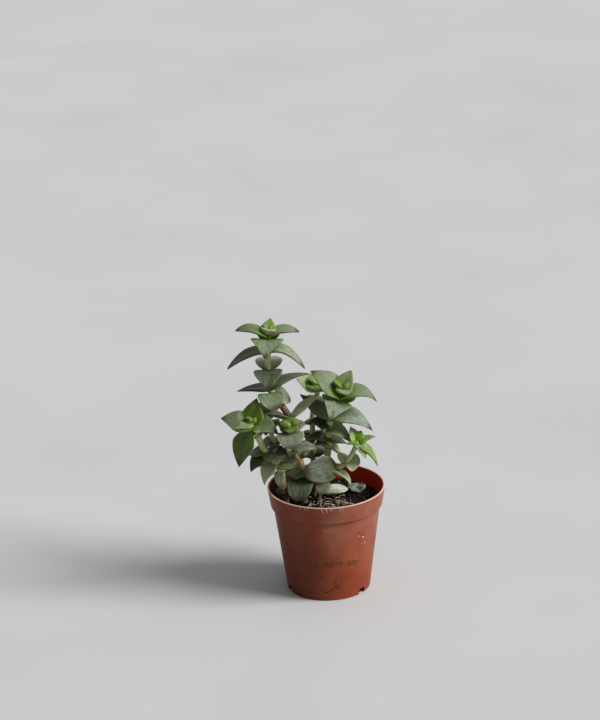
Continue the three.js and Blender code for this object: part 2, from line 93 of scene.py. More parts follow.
SHOOTS["tall_shoot"] = dict(
    foot=(-10.5, -4.5), diameters=(3.6, 2.8), woody_below=96, seed=11, branch=TALL_BRANCH, joints=[
    ((-10.8, -4.2, 52.5), (243, 8.5, -2.5, 9.5, 2.5, 0, ROUNDED)),
    ((-11, -4, 56.5), (261, 13.2, -6.8, 12.2, 3.5, 0, OVAL)),
    ((-11, -4, 60), (215, 7, -3, 10, 3, -30, ROUNDED)),
    ((-12.2, -3, 66), (200, 9, -2, 11, 3), (20, 8, 3, 9, 2)),
    ((-13.5, -2, 72.5),),
    ((-16, 0, 84.5), (189, 13, 3, 11, 2), (353, 14.5, 12, 7.8, 1, 28)),
    ((-23, 1, 96), (277, 9, -4.3, 12.6, 6.3, -38, OVAL), (21, 8.5, -4.5, 13, 3, 50, ROUNDED)),
    ((-24.5, 1.5, 99), (180, 15.5, -1, 11, 1.5), (12, 19.5, 5, 11, 4)),
    ((-25, 1.5, 107.5), (270, 14, -4.5, 13.5, 5, 0, SPADE), (85, 9, 4, 12.7, 1.5, 0, OVAL)),
    ((-25, 1, 117.5), (183, 19, -8, 10.5, 6, 0, BLUNT), (357, 17, -9, 11, 9, 0, BLUNT)),
    ((-24.5, 1, 122.6), (263, 14, -4, 15.5, 5, 0, KEELED), (87, 11, -1, 10.5, 5)),
    ((-25, 0.5, 125), (180, 14.5, 3, 8.5, 5, 0, BLUNT), (0, 15, 1.5, 8.5, 5, 0, BLUNT)),
    ((-24.5, 0.5, 126.5), (75, 5, 5.5, 7.5, 1, 0, KEELED), (268, 4.2, 2.2, 7.5, 2.2, 0, ROUNDED)),
    ((-24.5, 0.5, 128), (180, 2.5, 2, 4.5, 1, 0, ROUNDED), (341, 3, 1.5, 4.5, 1, 0, ROUNDED)),
])
SHOOTS["right_shoot"] = dict(
    foot=(-5.5, 4), diameters=(3.4, 2.8), woody_below=56, seed=21, joints=[
    ((-1, 3, 56), (200, 8, -3, 9, 3, -20), (70, 9.5, 1, 10, 3)),
    ((1.5, 2, 69), (24, 7.5, -5, 9, 3, 20, ROUNDED), (205, 7, 2, 9, 3)),
    ((1.5, 2, 73), (6, 9, -3.5, 10, 2), (184, 12, -1.5, 9, 4)),
    ((2, 1, 78), (333, 11.5, -5, 11, 4), (62, 10.5, 1.5, 11, 4)),
    ((2.3, 0.8, 80), (178, 9, 2.5, 9, 1.5, -25)),
    ((3, 0, 84), (351, 19.5, -6, 15, 8, 8), (148, 16.5, 9, 11.5, 0, -10)),
    ((6, -1, 93), (253, 13.5, -5.5, 15, 5, 0, KEELED), (58, 14, -1, 13, 5)),
    ((7.5, -2, 95.5), (171, 13.5, 12, 14, 3, -25), (0, 17, -3.5, 12, 9)),
    ((8, -2, 97.5), (37, 6.5, 9, 9.5, 2), (296, 5, 0, 9, 2.5, 0, ROUNDED)),
    ((8.5, -2, 99), (195, 4, 3.5, 6.5, 1.5, 0, ROUNDED), (350, 4, 3, 6.5, 1.8, 0, ROUNDED)),
])
SHOOTS["left_shoot"] = dict(
    foot=(-19, -8.5), diameters=(3.2, 2.8), woody_below=63, seed=31, joints=[
    ((-19.4, -8.9, 51.5), (222, 3.5, -0.5, 6.5, 1.5, 0, ROUNDED)),
    ((-21, -9.9, 62.5), (268, 3.5, -7, 5.5, 2.5, 0, ROUNDED)),
    ((-22, -10, 65.5), (200, 7, -9, 11.5, 6, -35), (323, 12.5, 2, 10.5, 2, 0, ROUNDED)),
    ((-25.5, -9.5, 70), (197, 9.5, -6.8, 11.5, 4, -35), (31, 7.5, 3.5, 9, 2)),
    ((-27.5, -9, 71.5), (153, 9, -3, 11, 3), (329, 12, -1.5, 11.5, 1.5, 5, BLUNT)),
    ((-31, -9, 80), (146, 14, -6, 9, 4), (58, 9.5, 1.5, 10, 4)),
    ((-32.5, -9, 82.5), (219, 9.5, -15.5, 15, 4.5, -20, HANGING), (64, 9, 8, 10, 2)),
    ((-33, -9, 84), (184, 14.5, 5.5, 13, 2, -45), (344, 12.5, -2.5, 12, 7, 36)),
    ((-33.5, -9, 85.5), (62, 6, 11, 12, 2, 0, KEELED), (204, 10, -0.5, 9, 2, -15)),
    ((-33, -9, 87), (180, 3.5, 2, 4, 1), (0, 2.5, 2, 4, 1)),
])
SHOOTS["back_shoot"] = dict(foot=(-6, 12), diameters=(2.8, 2.4), woody_below=60, seed=41, joints=[
    ((-5.5, 9, 62), (33, 7.5, 2, 11, 3), (180, 5, -1.5, 10, 3)),
    ((-5.5, 9.5, 70.5), (80, 8.5, 0, 10, 3), (262, 6.5, -1, 8, 3)),
    ((-5.5, 10, 78), (337, 7, -7, 9, 6), (162, 6.5, -3, 9, 3)),
    ((-4.5, 11.2, 86.5), (78, 9, 1, 10, 2.5), (260, 5.5, -1, 8, 2)),
    ((-2.5, 10.5, 94.5), (184, 10, 5.5, 12, 1, -25), (22, 8, -2.5, 10, 4)),
    ((-2.5, 10.5, 96), (118, 5.5, 4.5, 11, 1.5), (268, 6, -0.5, 10.5, 2.2, 0, ROUNDED)),
    ((-2.5, 10.5, 97), (190, 4.5, 2.5, 7, 1.2, 0, ROUNDED), (10, 4, 2.5, 7, 1.2, 0, ROUNDED)),
])
SHOOTS["rear_shoot"] = dict(
    foot=(-11, 5.5), diameters=(2.8, 2.2), woody_below=66, seed=51, joints=[
    ((-16.5, 6, 60), (232, 6.5, -3.5, 10, 4), (64, 6.5, 3.5, 10, 3)),
    ((-23, 7, 68.5), (162, 6.5, 1.5, 10, 3), (22, 8, 1, 10, 4)),
    ((-25.5, 7, 77), (69, 8.5, 1, 10, 3), (254, 6, -1.5, 9, 3)),
    ((-26.5, 7, 82), (164, 7, 2.5, 9, 3), (17, 7, 2, 9, 3)),
    ((-27, 7, 84), (117, 3.5, 6, 8, 1.5), (287, 5, 0, 7, 2)),
    ((-27, 7, 85), (180, 2, 2.5, 4, 1), (0, 2.5, 2.5, 4, 1)),
])
SHOOTS["low_shoot"] = dict(foot=(-3.5, -1), diameters=(2.6, 2.2), woody_below=58, seed=61, joints=[
    ((-1, -5, 55.5), (242, 5, -6.2, 7.5, 3, 0, ROUNDED)),
    ((2, -5, 59.5), (336, 10.3, -6.3, 6.8, 5, 20)),
    ((5.5, -4.5, 60.8), (205, 17.5, 0.6, 12.6, 4, -40, OVAL)),
    ((9.2, -5, 63), (105, 4.5, 3.5, 10, 1, 0, ROUNDED), (343, 7, 0.5, 9.5, 1, 45, ROUNDED)),
    ((14.5, -6, 72.5), (343, 10, -10, 9, 5), (114, 6.5, 7, 9, 2)),
    ((15, -6, 73.5), (7, 8.5, 2.5, 6.5, 2), (219, 6.5, 1, 5, 1.5)),
    ((15, -6, 74.5), (301, 7, -6.5, 7, 2), (65, 4.5, 3.5, 6, 1)),
])

DROPPED_LEAVES = {
    "fallen_leaf": ((-0.5, 2.2), (12, 11, 0.6, 11, 1.2, 0, ROUNDED)),
    "dry_leaf": ((13.7, 2.2), (72, 7, 1.6, 8, 1.5, 0, ROUNDED)),
}


# ---- Mesh helpers ----

def unit(v):
    return v / np.linalg.norm(v, axis=-1, keepdims=True)


def ring_angles(sides):
    return 2 * math.pi * np.arange(sides) / sides


def ring_points(radius, sides):
    angles = [2 * math.pi * k / sides for k in range(sides)]
    return [(radius * math.cos(angle), radius * math.sin(angle)) for angle in angles]


class Skin:
    """Points in millimetres, faces and one number per point, gathered for one mesh."""

    def __init__(self):
        self.points = []
        self.faces = []
        self.values = {}
        self.count = 0

    def add(self, points, faces, **values):
        points = np.asarray(points, float)
        for face in faces:
            self.faces.append([i + self.count for i in face])
        for key, value in values.items():
            spread = np.broadcast_to(np.asarray(value, float), len(points))
            self.values.setdefault(key, []).append(spread)
        self.points.append(points)
        self.count += len(points)

    def mesh(self, name):
        mesh = bpy.data.meshes.new(name)
        mesh.from_pydata((np.concatenate(self.points) * MM).tolist(), [], self.faces)
        for key, parts in self.values.items():
            layer = mesh.attributes.new(key, "FLOAT", "POINT")
            layer.data.foreach_set("value", np.concatenate(parts).astype(np.float32))
        return mesh


def ring_faces(rings, sides):
    """Faces over rings of points."""
    faces = []
    for r in range(rings - 1):
        for k in range(sides):
            n = (k + 1) % sides
            faces.append((r * sides + k, r * sides + n, (r + 1) * sides + n, (r + 1) * sides + k))
    return faces


def closed_faces(rings, sides):
    """Faces over rings of points and over a closing point at each end."""
    cap, last = rings * sides, (rings - 1) * sides
    faces = ring_faces(rings, sides)
    faces += [((k + 1) % sides, k, cap) for k in range(sides)]
    faces += [(last + k, last + (k + 1) % sides, cap + 1) for k in range(sides)]
    return faces


def disc_faces(rings, sides):
    """Faces over rings of points around a first, middle point."""
    faces = [(0, 1 + k, 1 + (k + 1) % sides) for k in range(sides)]
    return faces + [(1 + a, 1 + d, 1 + c, 1 + b) for a, b, c, d in ring_faces(rings, sides)]


def tube(points, radius, sides, sideways):
    """Rings of points around a line; the radius is one number per point and side."""
    along = unit(np.gradient(points, axis=0))
    side = unit(np.cross(along, sideways))
    front = np.cross(along, side)
    ring = ring_angles(sides)[None, :, None]
    around = side[:, None] * np.cos(ring) + front[:, None] * np.sin(ring)
    return points[:, None] + radius[..., None] * around, along


def placed(name, data):
    """A new object in the scene."""
    made = bpy.data.objects.new(name, data)
    bpy.context.scene.collection.objects.link(made)
    return made


def add_piece(name, skin, material, replaced=()):
    mesh = skin.mesh(name)
    mesh.shade_smooth()
    mesh.materials.append(material)
    mesh.update()
    piece = placed(name, mesh)
    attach(piece, "root")
    if replaced:
        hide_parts(*replaced)
    return piece


# ---- Material helpers ----

def srgb(color):
    """Linear colour of an sRGB one given from 0 to 255."""
    def linear(c):
        c = c / 255
        return c / 12.92 if c <= 0.04045 else ((c + 0.055) / 1.055) ** 2.4
    return (*map(linear, color), 1.0)


class Look:
    """A node material around one Principled shader, with the colour that is laid on so far."""

    def __init__(self, name, roughness=0.5, specular=0.5, **constants):
        self.material = bpy.data.materials.new(name)
        self.material.use_nodes = True
        self.tree = self.material.node_tree
        self.tree.nodes.clear()
        self.shader = self.node("ShaderNodeBsdfPrincipled")
        output = self.node("ShaderNodeOutputMaterial")
        self.tree.links.new(self.shader.outputs[0], output.inputs["Surface"])
        self.shader.inputs["Roughness"].default_value = roughness
        self.shader.inputs["Specular IOR Level"].default_value = specular
        for socket, value in constants.items():
            self.shader.inputs[socket.replace("_", " ")].default_value = value
        self.place = self.node("ShaderNodeTexCoord").outputs["Object"]

    def node(self, kind, **settings):
        made = self.tree.nodes.new(kind)
        for key, value in settings.items():
            setattr(made, key, value)
        return made

    def put(self, socket, value):
        if isinstance(value, bpy.types.NodeSocket):
            self.tree.links.new(value, socket)
        else:
            socket.default_value = value

    def values(self, *keys):
        made = [self.node("ShaderNodeAttribute", attribute_name=key) for key in keys]
        return [node.outputs["Fac"] for node in made]

    def math(self, operation, a, b=0.0, clamp=False):
        made = self.node("ShaderNodeMath", operation=operation, use_clamp=clamp)
        self.put(made.inputs[0], a)
        self.put(made.inputs[1], b)
        return made.outputs[0]

    def times(self, product, *others):
        for other in others:
            product = self.math("MULTIPLY", product, other)
        return product

    def plus(self, total, *others):
        for other in others:
            total = self.math("ADD", total, other)
        return total

    def most(self, a, b):
        return self.math("MAXIMUM", a, b)

    def step(self, value, low, high, first=0.0, last=1.0):
        """Smoothly from first to last as value goes from low to high."""
        if low > high:
            low, high, first, last = high, low, last, first
        made = self.node("ShaderNodeMapRange", interpolation_type="SMOOTHSTEP")
        self.put(made.inputs["Value"], value)
        ends = {"From Min": low, "From Max": high, "To Min": first, "To Max": last}
        for socket, end in ends.items():
            made.inputs[socket].default_value = end
        return made.outputs["Result"]

    def mix(self, share, a, b):
        made = self.node("ShaderNodeMix", data_type="RGBA", blend_type="MIX")
        self.put(made.inputs[0], share)
        self.put(made.inputs[6], a)
        self.put(made.inputs[7], b)
        return made.outputs[2]

    def blend(self, share, first, second):
        return self.mix(share, srgb(first), srgb(second))

    def paint(self, share, color, strength=1):
        if strength != 1:
            share = self.times(share, strength)
        self.color = self.mix(share, self.color, srgb(color))

    def noise(self, size, detail=3.0, roughness=0.55, place=None):
        """Noise with features of about size millimetres."""
        made = self.node("ShaderNodeTexNoise")
        self.put(made.inputs["Vector"], place or self.place)
        made.inputs["Scale"].default_value = 1 / (size * MM)
        made.inputs["Detail"].default_value = detail
        made.inputs["Roughness"].default_value = roughness
        return made.outputs["Fac"]

    def cells(self, size):
        made = self.node("ShaderNodeTexVoronoi")
        self.put(made.inputs["Vector"], self.place)
        made.inputs["Scale"].default_value = 1 / (size * MM)
        return made.outputs["Distance"]

    def stretched(self, scale):
        made = self.node("ShaderNodeMapping")
        self.put(made.inputs["Vector"], self.place)
        made.inputs["Scale"].default_value = scale
        return made.outputs["Vector"]

    def joined(self, x, y, z):
        made = self.node("ShaderNodeCombineXYZ")
        for socket, value in zip(made.inputs, (x, y, z)):
            self.put(socket, value)
        return made.outputs[0]

    def millimetres(self):
        """The place's x, y and z in millimetres."""
        made = self.node("ShaderNodeSeparateXYZ")
        self.put(made.inputs[0], self.place)
        return [self.times(part, 1 / MM) for part in made.outputs]

    def bump(self, height, strength, distance):
        made = self.node("ShaderNodeBump")
        made.inputs["Strength"].default_value = strength
        made.inputs["Distance"].default_value = distance * MM
        self.put(made.inputs["Height"], height)
        return made.outputs["Normal"]

    def finish(self, normal=None, roughness=None):
        self.put(self.shader.inputs["Base Color"], self.color)
        if normal is not None:
            self.put(self.shader.inputs["Normal"], normal)
        if roughness is not None:
            self.put(self.shader.inputs["Roughness"], roughness)
        return self.material


# ---- Materials ----

def leaf_material():
    """Fleshy leaf: bright green near the stem, greyer outwards and with age, with a waxy bloom
    in fine lengthwise streaks, small dark dots, a purple-brown margin and a dark tip, a pale
    margin that is partly a painted highlight, and a tone that for many leaves is painted light
    and shade."""
    look = Look("foliage_leaf", 0.5, 0.22, Subsurface_Weight=0.05, Subsurface_Scale=0.002)
    step, times, plus, paint = look.step, look.times, look.plus, look.paint
    look.shader.inputs["Subsurface Radius"].default_value = (0.7, 1, 0.3)
    along, across, edge, length, lot, under = look.values(
        "along", "across", "edge", "length", "lot", "under")
    age, tone, wax, flush = look.values("age", "tone", "wax", "flush")
    patchy = look.noise(4, 2)
    grain = look.noise(0.4, 2)
    lines = look.noise(1, 2, place=look.joined(
        times(across, 2.6 * MM), times(length, 0.32 * MM), lot))
    fine_lines = look.noise(1, 1, place=look.joined(
        times(across, 6 * MM), times(length, 0.8 * MM), lot))

    look.color = look.blend(step(age, 0.1, 0.6), (114, 138, 54), (100, 112, 64))
    paint(step(age, 0.5, 1), (76, 84, 52))
    bright = times(step(along, 0.78, 0.12), step(age, 0.2, 1, 1, 0.12))
    bright = look.most(bright, step(age, 0.16, 0.02, 0, 0.8))
    paint(bright, (112, 152, 14))
    mottle = times(step(patchy, 0.42, 0.66), step(along, 0.2, 0.6, 0.2, 0.62))
    paint(mottle, (60, 70, 40))
    keel = times(step(look.math("ABSOLUTE", across), 1.1, 0), step(along, 0.75, 0.3))
    paint(keel, (70, 88, 30), 0.3)

    streak = step(plus(times(lines, 0.65), times(fine_lines, 0.35)), 0.4, 0.6)
    bloom = plus(times(streak, 0.7), times(step(patchy, 0.3, 0.7), 0.35))
    bloom = times(bloom, step(along, 0.06, 0.5, 0.12, 1), step(under, 0.35, 0.8, 1, 0.5))
    bloom = look.math("MULTIPLY", bloom, wax, clamp=True)
    paint(bloom, (164, 175, 164))

    pits = times(step(look.cells(0.62), 0.34, 0.14), step(edge, 0.3, 0.9))
    paint(pits, (54, 66, 38), 0.5)

    rosy = times(step(edge, 2.6, 0), flush, step(flush, 0.95, 0.7))
    paint(rosy, (122, 78, 64), 0.7)
    foot_flush = times(step(along, 0.4, 0), step(flush, 0.75, 1))
    paint(foot_flush, (104, 58, 40), 0.75)
    worn = step(look.noise(2.5), 0.3, 0.6, 0.4, 1)
    # Pale margin: partly the leaf's own edge colour, partly a painted highlight along the edges.
    pale_line = times(
        step(edge, 0.95, 0.45), step(along, 0.1, 0.4), worn, step(age, 0.4, 0.9, 0.3, 0.55))
    paint(pale_line, (174, 184, 136))
    margin = times(
        step(edge, 0.42, 0.12), step(along, 0.15, 0.55), worn, step(age, 0, 0.5, 0.6, 0.85))
    paint(margin, (72, 54, 42))
    tip = times(step(along, 0.8, 0.95), step(age, 0, 0.2, 0.5, 0.92))
    paint(tip, (60, 42, 38))
    below = times(step(under, 0.55, 0.85), step(along, 0.1, 0.4), step(wax, 1.8, 1.2))
    paint(below, (150, 164, 98), 0.3)
    # Tone over the whole leaf, dark above 0 and pale below 0; set per leaf, it is partly painted
    # shade and painted light.
    paint(look.most(tone, 0), (36, 42, 18))
    paint(look.most(times(tone, -1), 0), (196, 204, 164))

    height = plus(times(grain, 0.5), times(pits, -0.7), times(lines, 0.5))
    return look.finish(look.bump(height, 0.3, 0.14), step(bloom, 0, 0.6, 0.38, 0.58))


def stem_material():
    """Green and smooth above, pinkish brown and slightly fissured below, with leaf scars."""
    look = Look("foliage_stem", 0.5, 0.4)
    wood, scar = look.values("wood", "scar")
    streak = look.noise(0.6, place=look.stretched((1, 1, 0.18)))
    patchy = look.noise(3)
    green = look.blend(look.step(patchy, 0.35, 0.7), (206, 214, 150), (184, 196, 128))
    brown = look.blend(look.step(patchy, 0.3, 0.7), (160, 134, 100), (116, 92, 68))
    ragged = look.plus(wood, look.times(look.plus(patchy, -0.5), 0.5))
    look.color = look.mix(look.step(ragged, 0.25, 0.75), green, brown)
    look.paint(look.step(streak, 0.5, 0.72), (88, 76, 58), 0.4)
    look.paint(scar, (92, 72, 60), 0.55)
    height = look.plus(streak, look.times(scar, -0.8))
    return look.finish(look.bump(height, 0.35, 0.15), look.step(streak, 0.3, 0.7, 0.42, 0.62))


# Marks on the pot: heading, height, half width, half height, tilt
DIRT_MARKS = [
    (-104.5, 18.8, 2.4, 2.6, 20), (-88.5, 19.6, 4.2, 2.4, 0), (-76, 19.7, 4, 2.3, 0),
    (-63.5, 19.1, 5, 2.3, 4), (-51, 18.3, 4.4, 1.8, 8), (-98.5, 13.3, 1.9, 2, 0),
    (-78.8, 10.8, 3.4, 3.4, 0), (-80, 7.8, 2.6, 2.6, 0), (-68, 11, 1.8, 1.6, 0),
    (-98.1, 36.3, 0.6, 1.3, 0),
]
SCRATCH_MARKS = [
    (-116, 4.1, 2.2, 0.5, -4), (-108, 3.7, 1.6, 0.34, 0), (-93.5, 4.7, 1.9, 0.55, 12),
    (-87.5, 5.8, 1.7, 0.6, 30), (-82.5, 7.3, 1.2, 0.45, 42),
]
SCUFF_MARKS = [
    (-72, 21.2, 0.7, 0.5, 0), (-65, 21.2, 0.9, 0.5, 0), (-54.4, 20.3, 1.3, 0.5, 0),
    (-89.2, 37.9, 2.9, 1.6, 0), (-106.5, 20, 1.5, 0.5, 0),
]
SPECK_MARKS = [
    (-53.4, 32.4, 0.4, 0.26, 0), (-47.6, 31.4, 0.34, 0.26, 0), (-45.9, 30.8, 0.5, 0.3, 0),
    (-44, 28.2, 0.3, 0.22, 0), (-41, 27, 0.3, 0.2, 0), (-47.5, 27.6, 0.26, 0.18, 0),
]
MARK_REACH = 5


def wall_radius(height):
    return BASE_RADIUS + (WALL_TOP_RADIUS - BASE_RADIUS) * height / COLLAR_FOOT


def marks(look, places, wobble, grain=1.2, inner=0.72):
    """1 inside any of the ovals on the pot's outside, which have ragged edges."""
    share = None
    for heading, height, width, tall, tilt in places:
        radius, angle = wall_radius(height) * MM, math.radians(heading)
        made = look.node("ShaderNodeMapping", vector_type="TEXTURE")
        look.put(made.inputs["Vector"], look.place)
        made.inputs["Location"].default_value = (
            radius * math.cos(angle), radius * math.sin(angle), height * MM)
        made.inputs["Rotation"].default_value = (math.radians(tilt), 0, angle)
        made.inputs["Scale"].default_value = (MARK_REACH * MM, width * MM, tall * MM)
        length = look.node("ShaderNodeVectorMath", operation="LENGTH")
        look.put(length.inputs[0], made.outputs[0])
        ragged = look.plus(length.outputs["Value"], look.times(look.noise(grain), wobble))
        oval = look.step(ragged, 1 + wobble / 2, inner + wobble / 2)
        share = oval if share is None else look.most(share, oval)
    return share


def pot_material():
    """Terracotta-coloured plastic with a satin face, dust, scuffs and a band of dried dirt;
    painted shade on the left side, at the foot, under the collar, inside on the left and in the
    notches; a painted highlight on the rim, painted sheen with the dust on the right, and a
    painted glow on the red inner wall.
    """
    look = Look("pot_plastic", 0.45, 0.22)
    step, times, plus, paint = look.step, look.times, look.plus, look.paint
    inside, foot, left = look.values("inside", "foot", "left")
    x, y, height = look.millimetres()
    outside = step(inside, 0.5, 0.4)
    cloud = look.noise(14)
    fine = look.noise(0.35, 2)
    look.color = look.blend(step(cloud, 0.3, 0.7), (144, 66, 36), (128, 54, 26))
    # Painted shade: darker on the left side, most of all low down, where the light does not reach.
    paint(times(left, step(height, POT_HEIGHT, 14, 0.2, 0.8)), (94, 37, 11))
    # The inner wall's bright saturated red is partly the plastic's colour and partly a painted
    # glow of light through the thin wall.
    paint(inside, (206, 50, 16))
    # Dust on the outside's right side, which also paints the pale sheen of the light there.
    dust_and_sheen_band = times(step(left, 0.7, 0.05), step(height, 8, 46))
    dust_and_sheen = times(step(look.noise(9, 4), 0.3, 0.75, 0.08, 0.3), dust_and_sheen_band)
    paint(times(dust_and_sheen, step(inside, 0, 1, 1, 0.2)), (160, 136, 120))
    # Painted highlight: a thin pale line along the top of the rim.
    rim = step(height, POT_HEIGHT - 0.42, POT_HEIGHT - 0.22)
    paint(times(rim, step(fine, 0.3, 0.6, 0.6, 0.95)), (226, 190, 172))
    # Painted shade: a thin dark line in the crease under the collar.
    corner = step(look.math("ABSOLUTE", plus(height, -COLLAR_FOOT)), 0.75, 0.2)
    paint(times(corner, outside, step(fine, 0.2, 0.6, 0.35, 0.6)), (76, 36, 24))

    scuff = times(marks(look, SCUFF_MARKS, 1.3, 1), step(look.noise(0.7), 0.4, 0.62))
    paint(scuff, (186, 142, 118), 0.3)
    smudges = times(marks(look, DIRT_MARKS, 0.9, 1.6, 0.4), 0.24)
    dirt = step(plus(smudges, look.noise(0.5, 5, 0.75)), 0.6, 0.78)
    dirt = times(dirt, step(look.noise(2.6), 0.4, 0.56, 0.15, 1))
    paint(dirt, (72, 48, 27), 0.85)
    paint(marks(look, SCRATCH_MARKS, 0.9, 0.8, 0.4), (48, 28, 16), 0.8)
    paint(marks(look, SPECK_MARKS, 0.2), (236, 206, 180))
    # Patchy darkening near the foot: part dirt, part painted contact shade.
    foot_dirt_and_shade = times(foot, step(look.noise(1.6, 5), 0.48, 0.66, 0, 0.6))
    paint(foot_dirt_and_shade, (84, 52, 38))
    # Painted shade: patchy darkening on the left of the inner wall.
    inner_left_shade = step(look.noise(3, 4), 0.25, 0.5, 0.75, 0.97)
    paint(times(inside, left, inner_left_shade), (46, 29, 21))

    # Painted shade: the cut faces inside the drainage notches are painted nearly black.
    radius = look.math("SQRT", plus(times(x, x), times(y, y)))
    notch_shade = times(step(radius, BASE_RADIUS - 0.5, BASE_RADIUS - 1.1), outside)
    paint(times(notch_shade, step(height, 0.2, 0.8)), (22, 16, 12))

    rough = plus(step(cloud, 0.3, 0.7, 0.36, 0.48), times(look.most(dirt, scuff), 0.25))
    relief = plus(times(fine, 0.5), times(look.most(dirt, foot_dirt_and_shade), 0.6))
    return look.finish(look.bump(relief, 0.12, 0.1), rough)


def soil_material():
    look = Look("soil_ground", 0.95, 0.15)
    patch = look.noise(1.4, 6, 0.7)
    look.color = look.blend(look.step(patch, 0.35, 0.7), (13, 11, 9), (42, 34, 28))
    look.paint(look.step(look.cells(1.1), 0.16, 0.05), (128, 108, 88))
    return look.finish(look.bump(patch, 0.9, 0.7))


def crumb_material():
    """Crumbs of soil from nearly black to tan, by each crumb's own number."""
    look = Look("soil_crumbs", 0.92, 0.15)
    (kind,) = look.values("kind")
    patch = look.noise(0.5, 4)
    look.color = look.blend(look.step(kind, 0, 0.6), (12, 10, 9), (42, 34, 28))
    look.paint(look.step(kind, 0.72, 0.8), (148, 118, 88))
    look.paint(look.step(kind, 0.9, 0.94), (214, 206, 192))
    look.paint(look.step(patch, 0.45, 0.7), (40, 32, 27), 0.5)
    return look.finish(look.bump(patch, 0.8, 0.3))


def fibre_material():
    look = Look("soil_fibres", 0.8, 0.2)
    (kind,) = look.values("kind")
    patch = look.noise(0.8)
    look.color = look.blend(look.step(kind, 0.1, 0.9), (166, 136, 104), (234, 224, 204))
    look.paint(look.step(patch, 0.5, 0.75), (98, 74, 56), 0.5)
    return look.finish(look.bump(patch, 0.5, 0.1))


def dropped_leaf_material():
    """Dead leaf: whitish with greener patches and brown spots, or grey where its tone is 1."""
    look = Look("dropped_leaf", 0.55, 0.35, Subsurface_Weight=0.1, Subsurface_Scale=0.002)
    edge, tone = look.values("edge", "tone")
    patch = look.noise(2.2, 4)
    pale = look.blend(look.step(patch, 0.35, 0.65), (206, 214, 198), (164, 180, 138))
    grey = look.blend(look.step(patch, 0.42, 0.6), (58, 60, 54), (146, 152, 140))
    look.color = look.mix(tone, pale, grey)
    look.paint(look.step(look.noise(0.8), 0.6, 0.7), (120, 96, 70), 0.5)
    look.paint(look.step(edge, 0.6, 0.1), (150, 124, 96), 0.35)
    return look.finish(look.bump(look.noise(0.7, 4), 0.5, 0.3))


def floor_material():
    look = Look("floor_paint", 1, 0)
    cloud = look.step(look.noise(120, 2), 0.3, 0.7)
    look.color = look.blend(cloud, (200, 200, 201), (204, 204, 204))
    return look.finish()


# ---- Leaves ----

LEAF_PLACES = (1 - (1 - np.linspace(0, 1, 27)[:-1]) ** 1.25)[:, None]
LEAF_SIDES = 28
FINE_EDGE = 0.8
LEAF_PLUMPNESS = 1.25
BUD_REACH = 5.2
BUD_PLUMPNESS = 1.7
DROPPED_PLUMPNESS = 1.35


def outline_share(s, outline):
    foot, belly, fullness, bluntness = outline
    rise = np.sin(np.pi / 2 * np.minimum(s / belly, 1))
    past = np.maximum((s - belly) / (1 - belly), 0)
    return (foot + (1 - foot) * rise) * (1 - past ** fullness) ** bluntness


def add_leaf(skin, joint, axis, leaf, rng, look, plump):
    """One leaf; its look is (age, tone, wax, flush)."""
    heading, reach, rise, width, arch, *rest = leaf
    twist, outline = rest + [0, POINTED][len(rest):]
    angle = math.radians(heading)
    chord = np.array([reach * math.cos(angle), reach * math.sin(angle), rise])
    bend = joint + BEND_PLACE * chord + arch * axis
    tip = joint + chord
    across = unit(np.cross(axis, chord))
    s = LEAF_PLACES
    centre = (1 - s) ** 2 * joint + 2 * s * (1 - s) * bend + s * s * tip
    along = unit((1 - s) * (bend - joint) + s * (tip - bend))
    up = unit(np.cross(along, across))
    side = unit(np.cross(up, along))
    turn = math.radians(twist) * np.minimum(1, 2 * s)
    side, up = side * np.cos(turn) + up * np.sin(turn), up * np.cos(turn) - side * np.sin(turn)

    share = outline_share(s, outline)
    phase = rng.uniform(0, ANY_TURN)
    wave = 1 + 0.012 * np.sin(9 * s + phase) + 0.007 * np.sin(21 * s + 2 * phase)
    half = width / 2 * share * wave
    taper = TIP_THICKNESS_SHARE + (1 - TIP_THICKNESS_SHARE) * (1 - s)
    thickness = plump * LEAF_THICKNESS * taper
    ring = ring_angles(LEAF_SIDES)
    u = np.cos(ring)[None, :]
    v = np.sin(ring)[None, :]
    full = np.sign(v) * np.abs(v) ** FINE_EDGE
    body = np.where(v > 0, UPPER_SHARE, 1 - UPPER_SHARE) * thickness * full * np.sqrt(share)
    middle = np.sin(np.pi * np.minimum(s * 1.02, 1)) * np.sqrt(share)
    groove = -0.16 * np.exp(-(u / 0.17) ** 2) * (v > 0)
    keel = -0.22 * np.exp(-(u / 0.22) ** 2) * (v < 0)
    ripple = 0.07 * np.sin(7 * s + phase) * u
    height = CUPPING * half * u * u + body + middle * (groove + keel + ripple)
    sideways = side[:, None] * (u * half)[..., None]
    points = centre[:, None] + sideways + up[:, None] * height[..., None]

    def spread(grid, *ends):
        return np.append(np.broadcast_to(grid, (len(s), LEAF_SIDES)).ravel(), ends)

    age, tone, wax, flush = look
    skin.add(
        np.concatenate([points.reshape(-1, 3), [joint, tip]]),
        closed_faces(len(s), LEAF_SIDES),
        along=spread(s, 0, 1), across=spread(half * u, 0, 0), length=spread(s * reach, 0, reach),
        edge=spread(half * (1 - np.abs(u)), 2, 0), under=spread((1 - v) / 2, 0.5, 0.5),
        age=age, tone=tone, wax=wax, flush=flush, lot=rng.uniform(0, 50),
    )


# ---- Stems ----

STEM_SIDES = 20
STEM_STEP = 0.6
STEM_SIDEWAYS = [0.0, 1.0, 0.0]


def soil_top(x, y):
    share = math.hypot(x, y) / (COLLAR_FOOT_RADIUS - WALL_THICKNESS)
    return SOIL_EDGE_HEIGHT + SOIL_MOUND * math.cos(math.pi / 2 * min(share, 1))


def stem_path(shoot):
    if "start" in shoot:
        start = [shoot["start"]]
    else:
        x, y = shoot["foot"]
        ground = soil_top(x, y)
        start = [(x, y, ground - STEM_DEPTH), (x, y, ground + 1)]
    return np.array(start + [place for place, *_ in shoot["joints"]], float)


def stem_axes(path):
    ahead = np.vstack([path[1:], path[-1:]])
    behind = np.vstack([path[:1], path[:-1]])
    return unit(ahead - behind)


